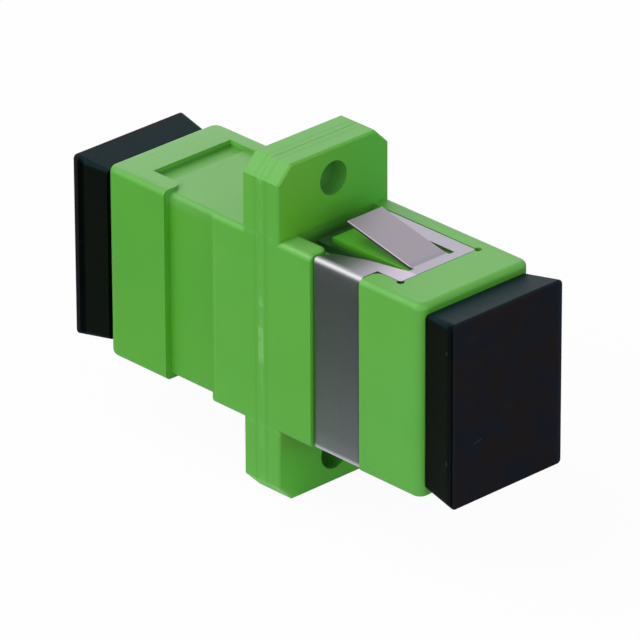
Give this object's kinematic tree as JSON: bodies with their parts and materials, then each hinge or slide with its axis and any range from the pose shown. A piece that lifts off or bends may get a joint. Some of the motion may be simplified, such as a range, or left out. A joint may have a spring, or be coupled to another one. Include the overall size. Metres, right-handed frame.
{
  "type": "fibre optic adapter",
  "caption": "SC/APC simplex panel adapter: flanged green housing in two halves with split sleeve, latches, spring panel clip and push-in dust caps.",
  "frame": {"origin": "On the optical axis, at the joint between the two housing halves, which is the middle of the flange.", "axes": "X is the optical axis, +X towards the end with the panel clip. Z is the long way of the flange, up. Y is the narrow width: the clip's strip crosses the -Y side and the keyways open through the +Y side."},
  "size_m": [0.0333, 0.0092, 0.0224],
  "materials": {
    "green_plastic": "satin moulded green engineering plastic",
    "latch_plastic": "satin moulded green plastic, as the housing",
    "zirconia": "ground white zirconia",
    "spring_steel": "rolled stainless spring sheet with stamped edges",
    "cap_plastic": "satin black moulded polyethylene"
  },
  "bodies": {
    "adapter": {"front_housing": "green_plastic", "rear_housing": "green_plastic", "front_inner_holder": "latch_plastic", "rear_inner_holder": "latch_plastic", "alignment_sleeve": "zirconia", "panel_clip": "spring_steel"},
    "front_cap": {"front_dust_cap": "cap_plastic"},
    "rear_cap": {"rear_dust_cap": "cap_plastic"}
  },
  "joints": [
    {"name": "front_cap_pull", "type": "slide", "parent": "adapter", "child": "front_cap", "axis": [1, 0, 0], "range_m": [0, 0.014]},
    {"name": "rear_cap_pull", "type": "slide", "parent": "adapter", "child": "rear_cap", "axis": [-1, 0, 0], "range_m": [0, 0.014]}
  ]
}
